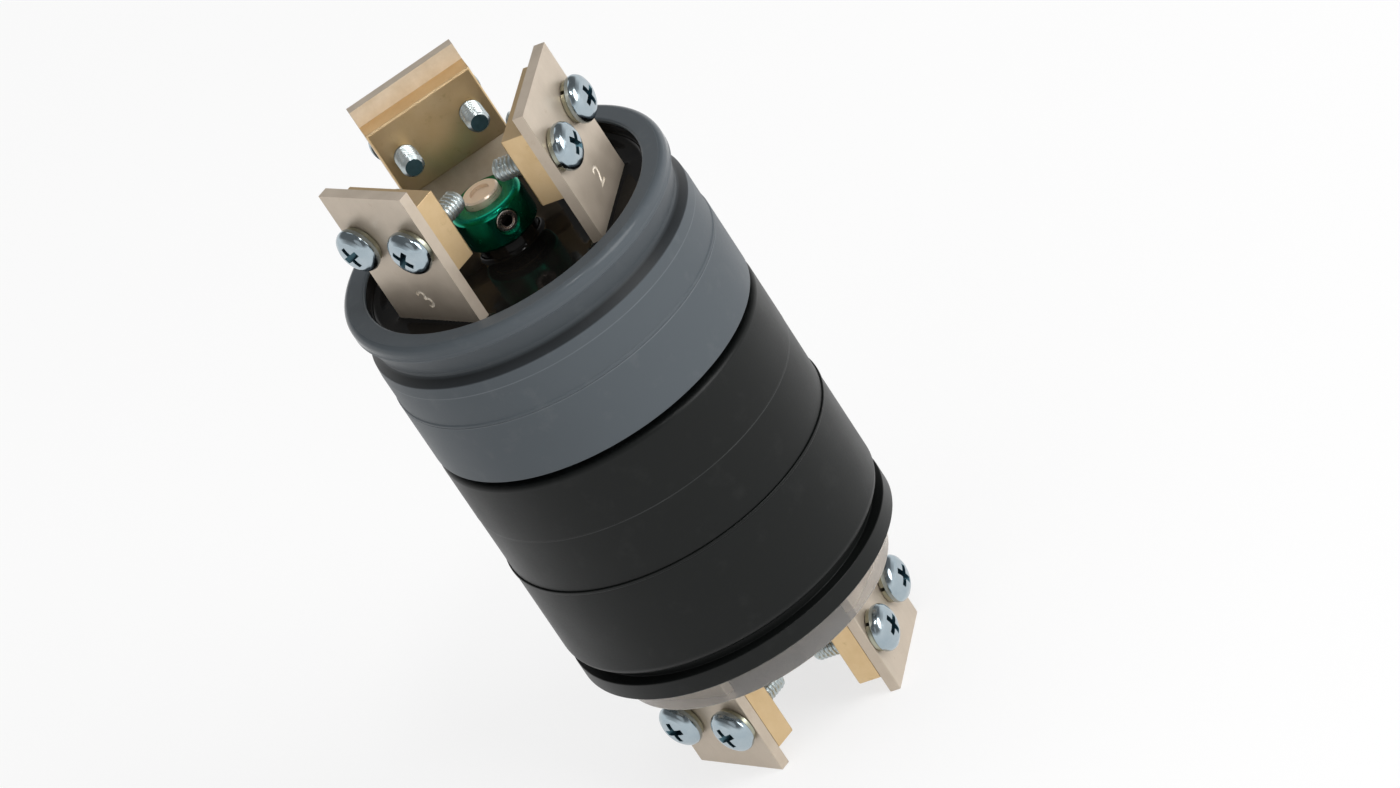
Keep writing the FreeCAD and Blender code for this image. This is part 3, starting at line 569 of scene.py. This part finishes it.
def make_screw():
    """Cross-recessed pan-head screw along +X, with the underside of its head at the origin."""
    outline = eased([
        (0.0, HEAD_HIGH, 0), (1.5, 2.68, 0), (2.9, 2.42, 1.2), (4.0, 1.72, 1.6), (HEAD, 0.85, 0.8),
        (4.28, 0.0, 0.15), (THREAD, 0.0, 0)])
    rows = round((SCREW_LONG - PLAIN_SHANK) / PITCH * ROWS_PER_PITCH)
    rings = [(point.x, point.y, False) for point in outline]
    rings.append((THREAD, -PLAIN_SHANK, False))
    for row in range(1, rows + 1):
        rings.append((THREAD, -PLAIN_SHANK - (SCREW_LONG - PLAIN_SHANK) * row / rows, True))
    rings.append((0.0, -SCREW_LONG, False))
    shape = bmesh.new()
    made = []
    for r, x, threaded in rings:
        ring = []
        for step in range(SCREW_SEGMENTS):
            angle = 2 * math.pi * step / SCREW_SEGMENTS
            radius = screw_radius(x, angle) if threaded else r
            ring.append(shape.verts.new(Vector((x, radius * math.cos(angle), radius * math.sin(angle))) * MM))
        made.append(ring)
    skin(shape, made)
    bmesh.ops.remove_doubles(shape, verts=shape.verts, dist=1e-8)
    # The screw tips and the cut recess get the dark finish: painted shade and reflection
    head, shank, tip = range(3)
    for face in shape.faces:
        x = face.calc_center_median().x / MM
        face.material_index = tip if x < 0.01 - SCREW_LONG else shank if x < -PLAIN_SHANK else head
    screw = new_object("screw", shape, finish["zinc_screw"])
    screw.data.materials.append(finish["shank"])
    screw.data.materials.append(finish["recess"])
    for turn in (0, 90):
        blade = make_blade()
        blade.transform(Matrix.Rotation(math.radians(turn), 4, "X"))
        carve(screw, new_object("blade", blade, finish["recess"]))
    return screw


def make_washer():
    """Split lock washer along +X, standing on the origin, with its ends a little apart."""
    shape = bmesh.new()
    inner, outer, ease, thick = WASHER_IN, WASHER_OUT, WASHER_EASE, WASHER_THICK - WASHER_LIFT
    section = [(inner + ease, 0), (outer - ease, 0), (outer, ease), (outer, thick - ease),
               (outer - ease, thick), (inner + ease, thick), (inner, thick - ease), (inner, ease)]
    rings = []
    for step in range(WASHER_STEPS + 1):
        share = step / WASHER_STEPS
        angle = math.radians(90 + WASHER_SLIT / 2 + (360 - WASHER_SLIT) * share)
        lift = WASHER_LIFT * share
        rings.append([shape.verts.new(Vector((x + lift, r * math.cos(angle), r * math.sin(angle))) * MM)
                      for r, x in section])
    skin(shape, rings)
    shape.faces.new(rings[0])
    shape.faces.new(rings[-1])
    return new_object("washer", shape, finish["washer"])


screw_master = make_screw()
washer_master = make_washer()
for (end, number), turns in SCREW_TURNS.items():
    body = "rotor" if end == "upper" else "housing"
    level = UPPER_SCREWS if end == "upper" else LOWER_SCREWS
    for side, label, turn in ((-1, "left", turns[0]), (1, "right", turns[1])):
        spot = place_at(TERMINALS[number], PLATE_OUT, side * SCREW_SPACING / 2, level)
        roll = Matrix.Rotation(math.radians(turn), 4, "X")
        screw = bpy.data.objects.new(f"{end}_screw_{number}_{label}", screw_master.data.copy())
        screw.data.transform(spot @ Matrix.Translation((WASHER_THICK * MM, 0, 0)) @ roll)
        washer = bpy.data.objects.new(f"{end}_washer_{number}_{label}", washer_master.data.copy())
        washer.data.transform(spot @ Matrix.Rotation(math.radians(turn * 3), 4, "X"))
        for piece, node in ((screw, f"{end}_screws_{number}"), (washer, f"{end}_lock_washers")):
            bpy.context.scene.collection.objects.link(piece)
            settle(piece, body, node)
bpy.data.objects.remove(screw_master)
bpy.data.objects.remove(washer_master)


COLLAR_BORE, COLLAR_SEGMENTS = 3.55, 128
SCREW_HOLE, SET_SCREW, SOCKET, SOCKET_LONG = 2.05, 2.02, 1.16, 4.4
SET_SCREW_SEGMENTS = 64


def make_collar():
    """Green collar with the countersunk hole of its set screw, and the screw with a hexagon socket."""
    collar = new_object("collar", lathe(eased([
        (COLLAR_BORE, COLLAR_LOW, 0.2), (COLLAR, COLLAR_LOW, 0.7), (COLLAR, COLLAR_TOP, 1.1),
        (COLLAR_BORE, COLLAR_TOP, 0.35)]), COLLAR_SEGMENTS), finish["green_collar"])
    spot = place_at(SET_SCREW_ANGLE, 0, 0, SET_SCREW_LEVEL) @ Matrix.Rotation(math.radians(90), 4, "Y")
    hole = lathe([
        (0, 0), (SCREW_HOLE, 0), (SCREW_HOLE, COLLAR - 0.6), (2.45, COLLAR - 0.1), (2.8, COLLAR + 1),
        (0, COLLAR + 1)], SET_SCREW_SEGMENTS, False)
    hole.transform(spot)
    carve(collar, new_object("hole", hole, finish["green_collar"]))
    settle(collar, "rotor", "set_collar", weighted=True)

    inner, outer = SHAFT + 0.05, COLLAR - 0.35
    screw = lathe(eased([
        (0, inner, 0), (SET_SCREW, inner, 0), (SET_SCREW, outer, 0.25), (1.35, outer, 0.12),
        (1.2, outer - 0.25, 0.1), (0, outer - 0.25, 0)]), SET_SCREW_SEGMENTS, False)
    screw.transform(spot)
    screw = new_object("socket_set_screw", screw, finish["socket_screw"])
    socket = bmesh.new()
    bmesh.ops.create_cone(
        socket, cap_ends=True, segments=6, radius1=SOCKET * MM, radius2=SOCKET * MM, depth=SOCKET_LONG * MM)
    socket.transform(spot @ Matrix.Translation((0, 0, outer * MM)))
    # The socket's faces take a near-black finish: painted shade
    carve(screw, new_object("socket", socket, finish["socket"]))
    settle(screw, "rotor", "set_screw", weighted=True)


make_collar()


# The cast fill, which creeps up what it meets: height and reach of each creep
WALL_CREEP, BUSH_CREEP, PLATE_CREEP = (0.6, 0.5), (0.9, 0.4), (0.5, 0.45)
FILL_OUT, FILL_IN = MOUTH - 0.16, BUSH + 0.3
FILL_SEGMENTS, FILL_STEP, FILL_INNER_RINGS = 360, 0.22, 12
FILL_WAVE, FILL_WAVE_SCALE = 0.035, 0.16


def creep(distance, high, reach):
    """How far the fill has crept up at that distance from what it meets."""
    return high * math.exp(-max(distance, 0.0) / reach)


def fill_height(x, y):
    """Level of the cast fill, which creeps up the mouth's wall, the plates and the bush."""
    r = math.hypot(x, y)
    level = creep(FILL_OUT - r, *WALL_CREEP) + creep(r - FILL_IN, *BUSH_CREEP)
    for angle in TERMINALS.values():
        turned = Vector((x, y)).to_3d()
        turned.rotate(Matrix.Rotation(math.radians(-angle), 3, "Z"))
        past = Vector((max(PLATE_OUT - PLATE_THICK - turned.x, turned.x - PLATE_OUT, 0.0),
                       max(abs(turned.y) - PLATE_WIDTH / 2, 0.0)))
        level = max(level, creep(past.length, *PLATE_CREEP))
    return MOUTH_FLOOR + level + FILL_WAVE * noise.noise(Vector((x, y, 3.0)) * FILL_WAVE_SCALE)


def make_fill():
    """Cast fill of the mouth, with a thin edge that has crept up the wall of the mouth and up the bush."""
    radii = [FILL_OUT - step * FILL_STEP for step in range(int((FILL_OUT - FILL_IN - 1.0) / FILL_STEP))]
    last = radii[-1]
    radii += [last + (FILL_IN - last) * step / FILL_INNER_RINGS for step in range(1, FILL_INNER_RINGS + 1)]
    outline = [(MOUTH - 0.01, TOP - 0.76), (MOUTH - 0.06, TOP - 0.7), (MOUTH - 0.13, TOP - 0.82)]
    outline += [(r, None) for r in radii]
    outline += [(BUSH + 0.14, COLLAR_LOW - 0.62), (BUSH + 0.06, COLLAR_LOW - 0.5),
                (BUSH - 0.05, COLLAR_LOW - 0.5), (BUSH - 0.05, FEET), (MOUTH - 0.01, FEET)]
    shape = bmesh.new()
    rings = []
    for r, level in outline:
        ring = []
        for step in range(FILL_SEGMENTS):
            angle = 2 * math.pi * step / FILL_SEGMENTS
            x, y = r * math.cos(angle), r * math.sin(angle)
            z = fill_height(x, y) if level is None else level
            ring.append(shape.verts.new(Vector((x, y, z)) * MM))
        rings.append(ring)
    skin(shape, rings, closed=True)
    settle(new_object("cast_fill", shape, finish["potting"]), "rotor", "potting")


make_fill()


# Studio: strength of the world's light and of the ceiling in gloss, and the share of the floor that glows
WORLD_LIGHT, CEILING, FLOOR_GLOW = 0.6, 0.18, 0.72

# Each soft lamp: name, azimuth and elevation in degrees, diameter in metres, power in watts
LAMPS = (("key", 52, 26, 0.9, 9.8), ("fill", -35, 35, 0.9, 0.75), ("glint", 24, 58, 0.2, 2.0),
         ("back", 170, 62, 0.8, 1.3))
LAMP_DISTANCE, LAMP_AIM = 1.3, Vector((0, 0, 0.07))

# The camera, fitted to the edge lines of the body in the photograph
CAMERA_PLACE = (-0.03604, -1.37194, 0.81688)
CAMERA_RIGHT, CAMERA_AHEAD = (0.824287, -0.295334, -0.483041), (0.030893, 0.87536, -0.482483)
CAMERA_LENS, CAMERA_SENSOR = 231.43, 36.0


def make_world():
    """White for the camera, gloss and clear parts, a darker ceiling in gloss, and plain light elsewhere."""
    world = bpy.data.worlds.new("studio")
    bpy.context.scene.world = world
    world.use_nodes = True
    w = Nodes(world.node_tree)
    plain = w.tree.nodes["Background"]
    white = w.add("ShaderNodeBackground")
    for background in (plain, white):
        w.feed(background.inputs["Color"], (1.0, 1.0, 1.0, 1.0))
    w.feed(plain.inputs["Strength"], WORLD_LIGHT)
    direction = w.add("ShaderNodeTexCoord").outputs["Generated"]
    upward = w.add("ShaderNodeSeparateXYZ", {0: direction}).outputs["Z"]
    ceiling = w.spread(upward, 1.0, CEILING, 0.1, 0.35)
    glossy_ray = w.add("ShaderNodeLightPath").outputs["Is Glossy Ray"]
    w.feed(white.inputs["Strength"], w.add("ShaderNodeMix", {0: glossy_ray, 2: 1.0, 3: ceiling}).outputs[0])
    surface = w.mix_shaders(w.seen_directly(), plain.outputs[0], white.outputs[0])
    w.feed(w.tree.nodes["World Output"].inputs["Surface"], surface)


def make_floor():
    """Pale floor just under the part, which keeps its shadow."""
    s = Shading("floor")
    mottle = s.spread(s.noise(60.0, 2.0), 0.0, 1.0)
    s.set(Base_Color=s.tint(mottle, (0.93, 0.93, 0.93), (0.94, 0.94, 0.94)))
    s.set(Roughness=0.9, Specular_IOR_Level=0.0)
    glow = s.add("ShaderNodeEmission").outputs[0]
    share = s.calc("MULTIPLY", s.seen_directly(), FLOOR_GLOW)
    s.feed(s.output.inputs["Surface"], s.mix_shaders(share, s.shader.outputs[0], glow))
    ground = bmesh.new()
    bmesh.ops.create_grid(ground, x_segments=1, y_segments=1, size=3.0)
    ground.transform(Matrix.Translation((0, 0, -0.02 * MM)))
    floor = bpy.data.objects.new("floor", bpy.data.meshes.new("floor"))
    ground.to_mesh(floor.data)
    ground.free()
    floor.data.materials.append(s.material)
    bpy.context.scene.collection.objects.link(floor)


def make_lamps():
    for name, azimuth, elevation, size, power in LAMPS:
        lamp = bpy.data.lights.new(name, "AREA")
        lamp.shape = "DISK"
        lamp.size = size
        lamp.energy = power
        holder = bpy.data.objects.new(name, lamp)
        bpy.context.scene.collection.objects.link(holder)
        a, e = math.radians(azimuth), math.radians(elevation)
        aim = Vector((math.sin(a) * math.cos(e), -math.cos(a) * math.cos(e), math.sin(e)))
        holder.location = LAMP_AIM + aim * LAMP_DISTANCE
        holder.rotation_mode = "QUATERNION"
        holder.rotation_quaternion = aim.to_track_quat("Z", "Y")


def make_camera():
    camera = bpy.data.objects.new("camera", bpy.data.cameras.new("camera"))
    bpy.context.scene.collection.objects.link(camera)
    camera.data.sensor_width = CAMERA_SENSOR
    camera.data.lens = CAMERA_LENS
    camera.data.clip_start = 0.1
    camera.data.clip_end = 20.0
    right, ahead = Vector(CAMERA_RIGHT).normalized(), Vector(CAMERA_AHEAD).normalized()
    turn = Matrix((right, right.cross(ahead).normalized(), -ahead)).transposed()
    camera.matrix_world = Matrix.Translation(CAMERA_PLACE) @ turn.to_4x4()
    bpy.context.scene.camera = camera


make_world()
make_floor()
make_lamps()
make_camera()
bpy.context.scene.view_settings.view_transform = "Standard"
